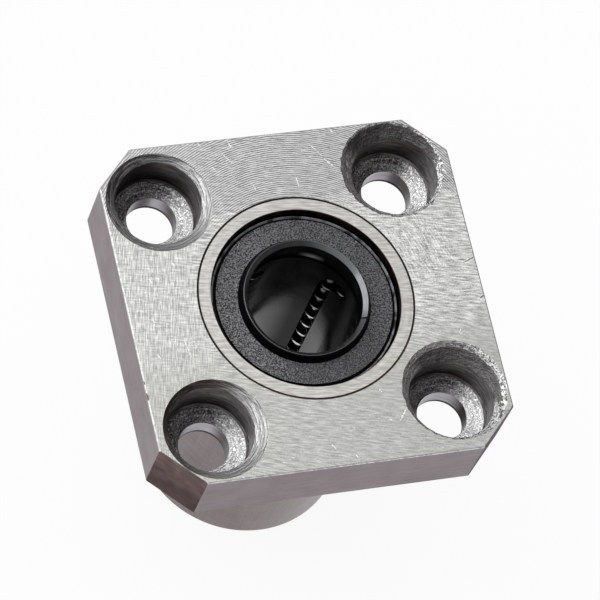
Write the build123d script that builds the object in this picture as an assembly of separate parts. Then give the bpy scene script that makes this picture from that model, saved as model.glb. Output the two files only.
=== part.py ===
from build123d import *
import os
from itertools import product
from math import acos, asin, cos, degrees, floor, radians, sin, sqrt, tan

# Square flange linear bearing for an 8 mm shaft, in millimetres.
# +Z points out of the flange's front face, along the shaft.
# The origin is on the axis, in the flange's rear face, which seats on the machine.
# Depths are measured inwards from either end of the sleeve, and the ends are alike.

# Driving dimensions: shaft and balls
SHAFT_D = 8.0
BALL_D = 1.5

# Sleeve, built outwards from the balls to its standard 15 mm across
SLEEVE_LENGTH = 24.0
RACE_PLAY = 0.01
POCKET_RELIEF = 0.49
SLEEVE_WALL = 1.5
LAND_ANGLE = 22.0
SLEEVE_FRONT_EDGE = 0.12
SLEEVE_REAR_EDGE = 0.5

# Seals, each pressed against a shoulder in the sleeve's end
SEAL_SHOULDER = 0.6
SEAL_SEAT_DEPTH = 2.4
SEAL_FIT = 0.01
SEAL_FACE_DEPTH = 0.65
SEAL_RIM_EDGE = 0.4
FUNNEL_WIDTH = 0.3
FUNNEL_DEPTH = 0.3
COLLAR_SLOPE = 0.3
COLLAR_EDGE = 0.06
LIP_HEIGHT = 0.6
LIP_RELIEF = 0.3

# Screw holes
HOLE_D = 3.5
COUNTERBORE_D = 6.0
COUNTERBORE_DEPTH = 3.1
FLOOR_DISH = 0.26
RIM_WIDTH = 0.6
RIM_DEPTH = 0.55

# The holes' rims were broken by hand. For the hole on each side of the flange, this is how far
# its rim sits off its axis, and how much wider than the others it is.
RIM_SHIFTS = {(1, 1): (-0.25, 0.3), (-1, 1): (-0.12, -0.2), (-1, -1): (0.15, -0.2), (1, -1): (0.2, 0.42)}
RIM_GROWTH = {(1, 1): 0.0, (-1, 1): 0.1, (-1, -1): 0.02, (1, -1): 0.08}

# Flange, 25 mm square, laid out from the sleeve and the rims of its holes
FLANGE_T = 5.0
SLEEVE_TO_RIM = 0.9
RIM_TO_SIDE = 0.4147
RIM_TO_CORNER = 0.17
FLANGE_EDGE = 0.1
BOND_GAP = 0.01
JOINT_EDGE = 0.12
REAR_JOINT_EDGE = 0.3

# Cage
CAGE_BORE_GAP = 0.17
CAGE_PLAY = 0.05
CAGE_END_GAP = 0.1
CAGE_END_WALL = 0.73
TRACK_PLAY = 0.02

# Ball circuits
CIRCUITS = 4
FIRST_CIRCUIT_ANGLE = 43.0
TURN_R = 1.4
BALL_GAP = 0.02
ROW_TRAVEL = 0.55
RETURN_PLAY = 0.05

# Places worked out from the driving dimensions
FRONT_Z = FLANGE_T
REAR_Z = FRONT_Z - SLEEVE_LENGTH
MIDDLE_Z = (FRONT_Z + REAR_Z) / 2
SHAFT_R = SHAFT_D / 2
BALL_R = BALL_D / 2
RACE_R = SHAFT_R + BALL_D + RACE_PLAY
POCKET_R = RACE_R + POCKET_RELIEF
SEAT_R = POCKET_R + SEAL_SHOULDER
SLEEVE_R = POCKET_R + SLEEVE_WALL
CAGE_R = POCKET_R - CAGE_PLAY
CAGE_BORE_R = SHAFT_R + CAGE_BORE_GAP
CAGE_LENGTH = SLEEVE_LENGTH - 2 * (SEAL_SEAT_DEPTH + CAGE_END_GAP)
TRACK_R = BALL_R + TRACK_PLAY

# The holes lie on a 24 mm circle, at the corners of a square
COUNTERBORE_R = COUNTERBORE_D / 2
RIM_R = COUNTERBORE_R + RIM_WIDTH
HOLE_CIRCLE_R = SLEEVE_R + SLEEVE_TO_RIM + RIM_R
HOLE_OFFSET = HOLE_CIRCLE_R / sqrt(2)
FLANGE_SIDE = 2 * (HOLE_OFFSET + RIM_R + RIM_TO_SIDE)
CORNER_CUT = FLANGE_SIDE - sqrt(2) * (HOLE_CIRCLE_R + RIM_R + RIM_TO_CORNER)

# Each circuit is a flat racetrack: a loaded lane, a return lane and two half turns
LOADED_LANE_R = SHAFT_R + BALL_R
RETURN_LANE_R = POCKET_R - RETURN_PLAY - BALL_R
LANE_SPREAD = degrees(
    acos((LOADED_LANE_R**2 + RETURN_LANE_R**2 - (2 * TURN_R) ** 2) / (2 * LOADED_LANE_R * RETURN_LANE_R))
)
TURN_DEPTH = SEAL_SEAT_DEPTH + CAGE_END_GAP + CAGE_END_WALL + TRACK_R + TURN_R
STRAIGHT = SLEEVE_LENGTH - 2 * TURN_DEPTH
BALL_PITCH = BALL_D + BALL_GAP

# How many balls each lane and turn holds, so that none leaves it as the row travels
LANE_BALLS = floor((STRAIGHT - 2 * ROW_TRAVEL) / BALL_PITCH) + 1
TURN_PITCH = 2 * degrees(asin(BALL_PITCH / (2 * TURN_R)))
TURN_TRAVEL = degrees(ROW_TRAVEL / TURN_R)
TURN_BALLS = 1 + 2 * floor((90 - TURN_TRAVEL) / TURN_PITCH)


def polar(radius, angle):
    return Vector(radius * cos(radians(angle)), radius * sin(radians(angle)), 0)


def circuit_angles():
    return [FIRST_CIRCUIT_ANGLE + i * 360 / CIRCUITS for i in range(CIRCUITS)]


def turned(*points):
    """A solid turned about Z from a closed profile of (radius, height) points."""
    return revolve(Plane.XZ * make_face(Polyline(*points, close=True)), Axis.Z)


def at_rear(part):
    """The same part turned round to the sleeve's other end."""
    return mirror(part, about=Plane.XY.offset(MIDDLE_Z))


# Flange


def screw_hole():
    """A through hole with a dished counterbore, up the Z axis."""
    hole_r = HOLE_D / 2
    floor_z = FLANGE_T - COUNTERBORE_DEPTH
    above = FLANGE_T + RIM_DEPTH
    return turned(
        (0, -RIM_DEPTH),
        (hole_r, -RIM_DEPTH),
        (hole_r, floor_z - FLOOR_DISH),
        (COUNTERBORE_R, floor_z),
        (COUNTERBORE_R, above),
        (0, above),
    )


def rim_cone(growth):
    """The countersink that breaks a hole's rim. Where it is off centre, one side goes deeper."""
    rim_r = RIM_R + growth
    return turned(
        (0, FLANGE_T - 2 * RIM_DEPTH),
        (rim_r - 2 * RIM_WIDTH, FLANGE_T - 2 * RIM_DEPTH),
        (rim_r + RIM_WIDTH, FLANGE_T + RIM_DEPTH),
        (0, FLANGE_T + RIM_DEPTH),
    )


def sleeve_hole():
    """The hole that holds the sleeve, with a bevel at each face."""
    bore_r = SLEEVE_R + BOND_GAP
    return turned(
        (0, -REAR_JOINT_EDGE),
        (bore_r + 2 * REAR_JOINT_EDGE, -REAR_JOINT_EDGE),
        (bore_r, REAR_JOINT_EDGE),
        (bore_r, FLANGE_T - JOINT_EDGE),
        (bore_r + 2 * JOINT_EDGE, FLANGE_T + JOINT_EDGE),
        (0, FLANGE_T + JOINT_EDGE),
    )


def make_flange():
    outline = chamfer(Rectangle(FLANGE_SIDE, FLANGE_SIDE).vertices(), CORNER_CUT)
    plate = extrude(outline, FLANGE_T)
    plate = chamfer(plate.faces().filter_by(Axis.Z).edges(), FLANGE_EDGE)
    plate -= sleeve_hole()
    for side in RIM_SHIFTS:
        place = Pos(side[0] * HOLE_OFFSET, side[1] * HOLE_OFFSET)
        plate -= place * screw_hole()
        plate -= place * Pos(*RIM_SHIFTS[side]) * rim_cone(RIM_GROWTH[side])
    return plate


# Sleeve


def wedge(angle, width):
    """A flat triangle from the axis, longer than the sleeve's radius."""
    reach = 2 * SLEEVE_R
    sides = polar(reach, angle - width / 2), polar(reach, angle + width / 2)
    return make_face(Polyline((0, 0, 0), *sides, close=True))


def ring_sector(inner_r, outer_r, angle, width, length):
    """Part of a ring about the axis, centred on the bearing's middle plane."""
    section = (Circle(outer_r) - Circle(inner_r)) & wedge(angle, width)
    return Pos(0, 0, MIDDLE_Z - length / 2) * extrude(section, length)


def make_sleeve():
    body = turned(
        (SEAT_R, FRONT_Z),
        (SLEEVE_R - SLEEVE_FRONT_EDGE, FRONT_Z),
        (SLEEVE_R, FRONT_Z - SLEEVE_FRONT_EDGE),
        (SLEEVE_R, REAR_Z + SLEEVE_REAR_EDGE),
        (SLEEVE_R - SLEEVE_REAR_EDGE, REAR_Z),
        (SEAT_R, REAR_Z),
        (SEAT_R, REAR_Z + SEAL_SEAT_DEPTH),
        (POCKET_R, REAR_Z + SEAL_SEAT_DEPTH),
        (POCKET_R, FRONT_Z - SEAL_SEAT_DEPTH),
        (SEAT_R, FRONT_Z - SEAL_SEAT_DEPTH),
    )
    wall_middle_r = (POCKET_R + SLEEVE_R) / 2
    for angle in circuit_angles():
        body += ring_sector(RACE_R, wall_middle_r, angle, LAND_ANGLE, STRAIGHT)
    return body


# Seals


def make_seal():
    """The front seal: a pressed-in disc with a raised collar whose lip wipes the shaft."""
    seal_r = SEAT_R - SEAL_FIT
    crest_r = SHAFT_R + FUNNEL_WIDTH
    face_z = FRONT_Z - SEAL_FACE_DEPTH
    seat_z = FRONT_Z - SEAL_SEAT_DEPTH
    funnel_z = FRONT_Z - FUNNEL_DEPTH
    lip_z = funnel_z - LIP_HEIGHT
    crest = (crest_r, FRONT_Z)
    rim = (seal_r, face_z)
    section = make_face(
        Polyline(
            rim,
            (seal_r, seat_z),
            (SHAFT_R + LIP_RELIEF, seat_z),
            (SHAFT_R + LIP_RELIEF, lip_z),
            (SHAFT_R, lip_z),
            (SHAFT_R, funnel_z),
            crest,
            (crest_r + COLLAR_SLOPE, face_z),
            close=True,
        )
    )
    for corner, edge in ((crest, COLLAR_EDGE), (rim, SEAL_RIM_EDGE)):
        section = chamfer(section.vertices().sort_by_distance(corner)[0], edge)
    return revolve(Plane.XZ * section, Axis.Z)


# Cage


def track_axes(angle):
    """The racetrack's middle, the way from its loaded lane to its return lane, and the way out."""
    loaded = polar(LOADED_LANE_R, angle)
    back = polar(RETURN_LANE_R, angle - LANE_SPREAD)
    across = (back - loaded).normalized()
    outwards = Vector(0, 0, 1).cross(across)
    return (loaded + back) / 2, across, outwards


def track_groove(angle):
    """A racetrack groove, open outwards, where its balls drop in. Its floor is half an octagon."""
    middle, across, outwards = track_axes(angle)
    turn_centre = middle + Vector(0, 0, MIDDLE_Z + STRAIGHT / 2)
    loaded_lane = Plane(origin=turn_centre - across * TURN_R, x_dir=across, z_dir=(0, 0, 1))
    flat = TRACK_R * tan(radians(22.5))
    right_side = [(flat, -TRACK_R), (TRACK_R, -flat), (TRACK_R, SLEEVE_R)]
    left_side = [(-x, y) for x, y in reversed(right_side)]
    section = loaded_lane * make_face(Polyline(*right_side, *left_side, close=True))

    half = extrude(section, -STRAIGHT) + revolve(section, Axis(turn_centre, outwards), 180)
    other_half = half.rotate(Axis(middle + Vector(0, 0, MIDDLE_Z), outwards), 180)
    return half, other_half


def make_cage():
    tube = Cylinder(CAGE_R, CAGE_LENGTH) - Cylinder(CAGE_BORE_R, CAGE_LENGTH)
    cage = Pos(0, 0, MIDDLE_Z) * tube
    key_angle = LAND_ANGLE + degrees(2 * CAGE_PLAY / RACE_R)
    key_length = STRAIGHT + 2 * CAGE_PLAY
    for angle in circuit_angles():
        cage -= ring_sector(RACE_R - CAGE_PLAY, SLEEVE_R, angle, key_angle, key_length)
        for half in track_groove(angle):
            cage -= half
    return cage


# Balls


def make_ball():
    """One ball, with few faces because there are so many. Its corners lie on the true sphere."""
    ways = [way for way in product((-1, 0, 1), repeat=3) if 1 <= sum(map(abs, way)) <= 2]
    return ConvexPolyhedron([Vector(*way).normalized() * BALL_R for way in ways])


def lane_balls(ball, lane_centre):
    """The balls in one straight lane, centred on the bearing's middle plane."""
    first = MIDDLE_Z - (LANE_BALLS - 1) / 2 * BALL_PITCH
    heights = [first + i * BALL_PITCH for i in range(LANE_BALLS)]
    return Compound([Pos(lane_centre + Vector(0, 0, height)) * ball for height in heights])


def turn_balls(ball, angle, end):
    """The balls in one half turn, spread evenly about its peak. end is 1 at the front, -1 at the rear."""
    middle, across, _ = track_axes(angle)
    centre = middle + Vector(0, 0, MIDDLE_Z + end * STRAIGHT / 2)
    balls = []
    for i in range(TURN_BALLS):
        from_peak = radians((i - (TURN_BALLS - 1) / 2) * TURN_PITCH)
        step = across * (TURN_R * sin(from_peak)) + Vector(0, 0, end * TURN_R * cos(from_peak))
        balls.append(Pos(centre + step) * ball)
    return Compound(balls)


def make_circuit(ball, number, angle):
    loaded = polar(LOADED_LANE_R, angle)
    back = polar(RETURN_LANE_R, angle - LANE_SPREAD)
    return {
        f"loaded_balls_{number}": lane_balls(ball, loaded),
        f"front_turn_balls_{number}": turn_balls(ball, angle, 1),
        f"return_balls_{number}": lane_balls(ball, back),
        f"rear_turn_balls_{number}": turn_balls(ball, angle, -1),
    }


# All parts, one file each

seal = make_seal()
parts = {
    "flange": make_flange(),
    "sleeve": make_sleeve(),
    "cage": make_cage(),
    "front_seal": seal,
    "rear_seal": at_rear(seal),
}
ball = make_ball()
for number, angle in enumerate(circuit_angles(), start=1):
    parts.update(make_circuit(ball, number, angle))

os.makedirs("parts", exist_ok=True)
for name, part in parts.items():
    export_step(part, f"parts/{name}.step")
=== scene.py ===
from math import asin, cos, hypot, pi, radians, sin

import bmesh
import bpy
from mathutils import Matrix, Vector, noise


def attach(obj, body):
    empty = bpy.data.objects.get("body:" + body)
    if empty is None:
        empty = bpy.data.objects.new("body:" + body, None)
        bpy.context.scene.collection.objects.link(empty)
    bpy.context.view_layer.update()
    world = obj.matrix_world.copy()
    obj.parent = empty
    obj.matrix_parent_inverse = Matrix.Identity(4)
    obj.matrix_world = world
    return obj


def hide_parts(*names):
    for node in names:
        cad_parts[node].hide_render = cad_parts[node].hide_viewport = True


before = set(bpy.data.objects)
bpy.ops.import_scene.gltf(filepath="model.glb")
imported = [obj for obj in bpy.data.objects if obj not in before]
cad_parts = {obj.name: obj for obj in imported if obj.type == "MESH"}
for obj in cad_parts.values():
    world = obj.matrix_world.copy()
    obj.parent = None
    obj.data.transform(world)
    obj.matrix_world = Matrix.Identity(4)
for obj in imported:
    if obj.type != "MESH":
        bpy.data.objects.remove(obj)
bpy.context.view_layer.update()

# The looks of a square flange linear bearing for an 8 mm shaft.
# Lengths are in millimetres, as in the part's source, and MM turns them into metres.
MM = 0.001

FLANGE_SIDE = 25.0
FLANGE_T = 5.0
CORNER_CUT = 2.698
CORNER_EDGE = 0.06
FLANGE_EDGE = 0.1
HOLE_OFFSET = 8.4853
HOLE_R = 1.75
HOLE_CHAMFER = 0.1
COUNTERBORE_R = 3.0
COUNTERBORE_DEPTH = 3.1
COUNTERBORE_FLOOR = FLANGE_T - COUNTERBORE_DEPTH
FLOOR_EDGE = 0.12
FLOOR_DISH = 0.26
JOINT_CHAMFER = 0.08
REAR_CHAMFER = 0.3
BOND_GAP = 0.01

# The four holes' broken rims, each by the side that it lies on in X and in Y.
RIM_R = 3.6
RIM_SLOPE_WIDTH = 0.6
RIM_DEPTH = 0.55
RIM_STEPS = 9
RIM_SHIFTS = {(1, 1): (-0.25, 0.3), (-1, 1): (-0.12, -0.2), (-1, -1): (0.15, -0.2), (1, -1): (0.2, 0.42)}
RIM_GROWTH = {(1, 1): 0.06, (-1, 1): 0.1, (-1, -1): 0.02, (1, -1): 0.08}
RIM_TORN = {(1, 1): 0.14, (-1, 1): 0.02, (-1, -1): 0.02, (1, -1): 0.08}

# How far a cutter runs on past the surface that it cuts.
RUN_ON = 0.5

FRONT_Z = 5.0
REAR_Z = -19.0
MIDDLE_Z = -7.0
SLEEVE_R = 7.5
SLEEVE_FRONT_EDGE = 0.06
SLEEVE_REAR_EDGE = 0.5
SLEEVE_INNER_EDGE = 0.04
SEAT_R = 6.6
POCKET_R = 6.0
RACE_R = 5.51
SEAT_DEPTH = 2.4
LAND_ANGLE = 22.0

# The seals, from the shaft outwards: a wiping lip, a raised collar, a grained face and a bead.
SHAFT_R = 4.0
LIP_BACK_R = 4.3
LIP_Z = 4.1
LIP_END_Z = 4.7
CREST_R = 4.31
CREST_EDGE = 0.012
COLLAR_FOOT_R = 4.63
GRAIN_R = 6.14
BEAD_R = 6.42
SEAL_R = 6.59
SEAL_FACE_Z = 4.35

CAGE_R = 5.95
CAGE_BORE_R = 4.17
CAGE_LENGTH = 19.0
SLOT_PLAY = 0.05
SLOT_PLAY_ANGLE = 1.04
TRACK_R = 0.77
TRACK_DEPTH = 2.5

# The ball circuits: each is a racetrack of two straight lanes and two half turns.
BALL_R = 0.75
CIRCUIT_ANGLES = [43.0, 133.0, 223.0, 313.0]
LOADED_LANE_R = 4.75
RETURN_LANE_R = 5.2
LANE_SPREAD = 32.286
TURN_R = 1.4
STRAIGHT = 13.2
BALL_PITCH = 1.52
LANE_BALLS = 8
TURN_BALLS = 3

# Where some marks lie on the finishes. Bearings are degrees about the shaft's axis, from +X.
HATCHED_SPOT = (8.6, 2.8, FLANGE_T)
NOTCH_BEARING = -28.0
CREST_GLOSS_BEARING = 5.0
# Where a painted highlight sits on the front seal's lip.
PAINTED_HIGHLIGHT_BEARING = 66.0

# The photograph's camera: a long lens, 28 degrees off the shaft's axis. Its place is in metres.
CAMERA_SENSOR = 36.0
CAMERA_LENS = 286.02
CAMERA_PLACE = (-0.0907225, -0.1218214, 0.2905194)
CAMERA_TURN = (25.43117, -11.99887, -12.94172)


# Shader building


def feed(tree, socket, value):
    """Gives a socket a plain value or another node's output."""
    if isinstance(value, bpy.types.NodeSocket):
        tree.links.new(value, socket)
    else:
        socket.default_value = value


def wire(tree, kind, inputs=None, **settings):
    """Adds a node with its settings and inputs."""
    made = tree.nodes.new(kind)
    for key, value in settings.items():
        setattr(made, key, value)
    for key, value in (inputs or {}).items():
        feed(tree, made.inputs[key], value)
    return made


def calc(tree, operation, first, second=0.0, clamp=False):
    """One sum on numbers."""
    made = wire(tree, "ShaderNodeMath", {0: first, 1: second}, operation=operation, use_clamp=clamp)
    return made.outputs[0]


def times(tree, first, second, clamp=False):
    return calc(tree, "MULTIPLY", first, second, clamp)


def sway(tree, base, pattern, amount=1.0):
    """A base value, swayed up and down by a pattern that runs from 0 to 1."""
    return calc(tree, "ADD", times(tree, calc(tree, "SUBTRACT", pattern, 0.5), amount), base)


def away_from(tree, value, centre):
    """How far a value is from a centre, either way."""
    return calc(tree, "ABSOLUTE", calc(tree, "SUBTRACT", value, centre))


def on_places(tree, operation, first, second=(0.0, 0.0, 0.0)):
    """One sum on places or ways. A length, a distance and a dot product come out as numbers."""
    made = wire(tree, "ShaderNodeVectorMath", {0: first, 1: second}, operation=operation)
    return made.outputs["Value" if operation in ("LENGTH", "DISTANCE", "DOT_PRODUCT") else "Vector"]


def split(tree, place):
    """The X, Y and Z of a place."""
    return wire(tree, "ShaderNodeSeparateXYZ", {0: place}).outputs


def join(tree, x, y, z=0.0):
    """A place from its X, Y and Z."""
    return wire(tree, "ShaderNodeCombineXYZ", {0: x, 1: y, 2: z}).outputs[0]


def spread(tree, value, low, high, to_low=0.0, to_high=1.0):
    """Stretches the part of a value between low and high, with soft ends."""
    ramp = {"Value": value, "From Min": low, "From Max": high, "To Min": to_low, "To Max": to_high}
    return wire(tree, "ShaderNodeMapRange", ramp, interpolation_type="SMOOTHSTEP").outputs["Result"]


def mix(tree, amount, first, second):
    """Between two values: the first where amount is 0, the second where it is 1."""
    return wire(tree, "ShaderNodeMix", {0: amount, 2: first, 3: second}).outputs[0]


def blend(tree, amount, first, second, how="MIX"):
    """Between two colours: the first where amount is 0, the second where it is 1."""
    colours = {0: amount, 6: first, 7: second}
    return wire(tree, "ShaderNodeMix", colours, data_type="RGBA", blend_type=how).outputs[2]


def tinted(tree, colour, tone):
    """A colour, lighter or darker by a tone round 1."""
    level = wire(tree, "ShaderNodeCombineColor", {0: tone, 1: tone, 2: tone}).outputs[0]
    return blend(tree, 1.0, colour, level, "MULTIPLY")


def grey(level):
    return (level, level, level, 1.0)


def cloud(tree, place, scale, detail, roughness=0.5):
    """Soft, cloudy noise round 0.5. scale is in patches per mm."""
    inputs = {"Vector": place, "Scale": scale, "Detail": detail, "Roughness": roughness}
    return wire(tree, "ShaderNodeTexNoise", inputs).outputs[0]


def millimetres(tree):
    """The place on the piece, in millimetres."""
    place = tree.nodes.new("ShaderNodeTexCoord").outputs["Object"]
    scaled = wire(tree, "ShaderNodeVectorMath", {0: place, "Scale": 1.0 / MM}, operation="SCALE")
    return scaled.outputs[0]


def round_the_axis(tree, place):
    """The bearing about the shaft's axis, in degrees, and the height along it."""
    x, y, z = split(tree, place)
    return times(tree, calc(tree, "ARCTAN2", y, x), 180 / pi), z


# Shader groups: the patterns on the finishes


VALUE = "NodeSocketFloat"
PLACE = "NodeSocketVector"
FLAT = (1.0, 1.0, 0.0)
LIT_WAY = (0.87, -0.5, 0.0)
SHADED_WAY = (-0.42, 0.91, 0.0)


def new_group(name, inputs, outputs):
    """An empty shader group. inputs are (name, kind, default) and outputs (name, kind)."""
    tree = bpy.data.node_groups.new(name, "ShaderNodeTree")
    for label, kind, default in inputs:
        socket = tree.interface.new_socket(label, in_out="INPUT", socket_type=kind)
        if default is not None:
            socket.default_value = default
    for label, kind in outputs:
        tree.interface.new_socket(label, in_out="OUTPUT", socket_type=kind)
    way_in = tree.nodes.new("NodeGroupInput").outputs
    way_out = tree.nodes.new("NodeGroupOutput").inputs
    return tree, way_in, way_out


def use(tree, group, **inputs):
    """Places a group. An input is given by its name, with low lines for spaces."""
    named = {key.replace("_", " "): value for key, value in inputs.items()}
    return wire(tree, "ShaderNodeGroup", named, node_tree=group).outputs


def turned_flat(tree, place, angle):
    """A place, turned about Z."""
    inputs = {"Vector": place, "Angle": angle}
    return wire(tree, "ShaderNodeVectorRotate", inputs, rotation_type="Z_AXIS").outputs[0]


def cells(tree, place, scale):
    """Each cell's distance from its own middle, and its own random colour."""
    return wire(tree, "ShaderNodeTexVoronoi", {"Vector": place, "Scale": scale}, feature="F1").outputs


def straight_lines_group():
    """Fine straight grinding lines across a flat face."""
    inputs = [("Place", PLACE, None), ("Turn", VALUE, 0.0), ("Per mm", VALUE, 6.0), ("Run", VALUE, 0.25)]
    tree, given, out = new_group("straight grinding lines", inputs, [("Lines", VALUE)])
    x, y, z = split(tree, turned_flat(tree, given["Place"], given["Turn"]))
    stretched = join(tree, times(tree, x, given["Run"]), times(tree, y, given["Per mm"]), z)
    tree.links.new(cloud(tree, stretched, 1.0, 2.0, 0.55), out["Lines"])
    return tree


def turned_lines_group():
    """Facing marks, in rings round the axis."""
    inputs = [("Place", PLACE, None), ("Per mm", VALUE, 6.0), ("Run", VALUE, 0.25)]
    tree, given, out = new_group("turned lines", inputs, [("Lines", VALUE)])
    x, y, _ = split(tree, given["Place"])
    across = times(tree, on_places(tree, "LENGTH", join(tree, x, y)), given["Per mm"])
    stretched = join(tree, times(tree, x, given["Run"]), times(tree, y, given["Run"]), across)
    tree.links.new(cloud(tree, stretched, 1.0, 2.0, 0.55), out["Lines"])
    return tree


def bore_lines_group():
    """Tool rings down a bored wall."""
    inputs = [("Place", PLACE, None), ("Per mm", VALUE, 5.0), ("Run", VALUE, 0.4)]
    tree, given, out = new_group("bore lines", inputs, [("Lines", VALUE)])
    x, y, z = split(tree, given["Place"])
    down = times(tree, z, given["Per mm"])
    stretched = join(tree, times(tree, x, given["Run"]), times(tree, y, given["Run"]), down)
    tree.links.new(cloud(tree, stretched, 1.0, 3.0, 0.6), out["Lines"])
    return tree


def feed_marks_group():
    """The even rings that a facing tool leaves as it feeds inwards, worn away in patches."""
    inputs = [("Place", PLACE, None), ("Pitch", VALUE, 0.15)]
    tree, given, out = new_group("feed marks", inputs, [("Marks", VALUE)])
    flat = on_places(tree, "MULTIPLY", given["Place"], FLAT)
    radius = on_places(tree, "LENGTH", flat)
    jitter = times(tree, cloud(tree, flat, 1.3, 3.0), 0.9)
    turns = calc(tree, "ADD", calc(tree, "DIVIDE", radius, given["Pitch"]), jitter)
    ridge = calc(tree, "SINE", times(tree, turns, 2 * pi))
    kept = spread(tree, cloud(tree, flat, 2.4, 3.0, 0.65), 0.36, 0.6, 0.12, 0.5)
    tree.links.new(calc(tree, "ADD", times(tree, ridge, kept), 0.5), out["Marks"])
    return tree


def speckle_group():
    """Torn, sparkling metal or moulded grain: light and dark grains of one size."""
    inputs = [("Place", PLACE, None), ("Per mm", VALUE, 8.0), ("Sharpness", VALUE, 0.2)]
    tree, given, out = new_group("speckle", inputs, [("Grain", VALUE), ("Sparkle", VALUE)])
    low = calc(tree, "SUBTRACT", 0.5, given["Sharpness"])
    high = calc(tree, "ADD", 0.5, given["Sharpness"])
    grain = spread(tree, cloud(tree, given["Place"], given["Per mm"], 2.0, 0.7), low, high)
    colours = cells(tree, given["Place"], given["Per mm"])["Color"]
    picked = wire(tree, "ShaderNodeSeparateColor", {0: colours}).outputs[0]
    tree.links.new(grain, out["Grain"])
    tree.links.new(spread(tree, picked, 0.82, 0.95), out["Sparkle"])
    return tree


def nicks_group():
    """Short stray nicks, each a bright dash."""
    inputs = [("Place", PLACE, None), ("Turn", VALUE, 0.0), ("Per mm", VALUE, 0.6), ("Share", VALUE, 0.2)]
    tree, given, out = new_group("stray nicks", inputs, [("Nicks", VALUE)])
    turned = turned_flat(tree, given["Place"], given["Turn"])
    squeezed = on_places(tree, "MULTIPLY", turned, (0.4, 2.2, 1.0))
    found = cells(tree, squeezed, given["Per mm"])
    near = spread(tree, found["Distance"], 0.14, 0.05)
    picked = wire(tree, "ShaderNodeSeparateColor", {0: found["Color"]}).outputs[1]
    kept = calc(tree, "LESS_THAN", picked, given["Share"])
    tree.links.new(times(tree, near, kept), out["Nicks"])
    return tree


def hole_place_group():
    """The place measured from the nearest screw hole's axis, and the way that it lies from there.

    The light comes from the left and behind, so Lit is 1 at a hole's right, low side and -1 across
    from there, and Shaded is 1 at its back."""
    outputs = [("Local", PLACE), ("Lit", VALUE), ("Shaded", VALUE)]
    tree, given, out = new_group("place round a screw hole", [("Place", PLACE, None)], outputs)
    side = on_places(tree, "SIGN", given["Place"])
    centre = on_places(tree, "MULTIPLY", side, (HOLE_OFFSET, HOLE_OFFSET, 0.0))
    local = on_places(tree, "SUBTRACT", given["Place"], centre)
    way = on_places(tree, "NORMALIZE", on_places(tree, "MULTIPLY", local, FLAT))
    tree.links.new(local, out["Local"])
    tree.links.new(on_places(tree, "DOT_PRODUCT", way, LIT_WAY), out["Lit"])
    tree.links.new(on_places(tree, "DOT_PRODUCT", way, SHADED_WAY), out["Shaded"])
    return tree


STRAIGHT_LINES = straight_lines_group()
TURNED_LINES = turned_lines_group()
BORE_LINES = bore_lines_group()
FEED_MARKS = feed_marks_group()
SPECKLE = speckle_group()
NICKS = nicks_group()
HOLE_PLACE = hole_place_group()


def straight_lines(tree, place, turn, per_mm, run):
    return use(tree, STRAIGHT_LINES, Place=place, Turn=turn, Per_mm=per_mm, Run=run)["Lines"]


def turned_lines(tree, place, per_mm, run):
    return use(tree, TURNED_LINES, Place=place, Per_mm=per_mm, Run=run)["Lines"]


def bore_lines(tree, place, per_mm, run):
    return use(tree, BORE_LINES, Place=place, Per_mm=per_mm, Run=run)["Lines"]


def speckle(tree, place, per_mm, sharpness):
    return use(tree, SPECKLE, Place=place, Per_mm=per_mm, Sharpness=sharpness)


def nicks(tree, place, turn, per_mm, share):
    return use(tree, NICKS, Place=place, Turn=turn, Per_mm=per_mm, Share=share)["Nicks"]


# Finishes


def new_finish(name, metallic, ior=None):
    """A material, its nodes, its Principled shader and the place on the piece."""
    material = bpy.data.materials.new(name)
    material.use_nodes = True
    tree = material.node_tree
    shader = tree.nodes["Principled BSDF"]
    shader.inputs["Metallic"].default_value = metallic
    if ior:
        shader.inputs["IOR"].default_value = ior
    return material, tree, shader, millimetres(tree)


def surface(tree, shader, colour, roughness, pattern, depth):
    """Gives a shader its colour, its roughness and a raised pattern. depth is in millimetres."""
    tree.links.new(colour, shader.inputs["Base Color"])
    tree.links.new(roughness, shader.inputs["Roughness"])
    raised = wire(tree, "ShaderNodeBump", {"Height": pattern, "Strength": 1.0, "Distance": depth * MM})
    tree.links.new(raised.outputs[0], shader.inputs["Normal"])


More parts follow.
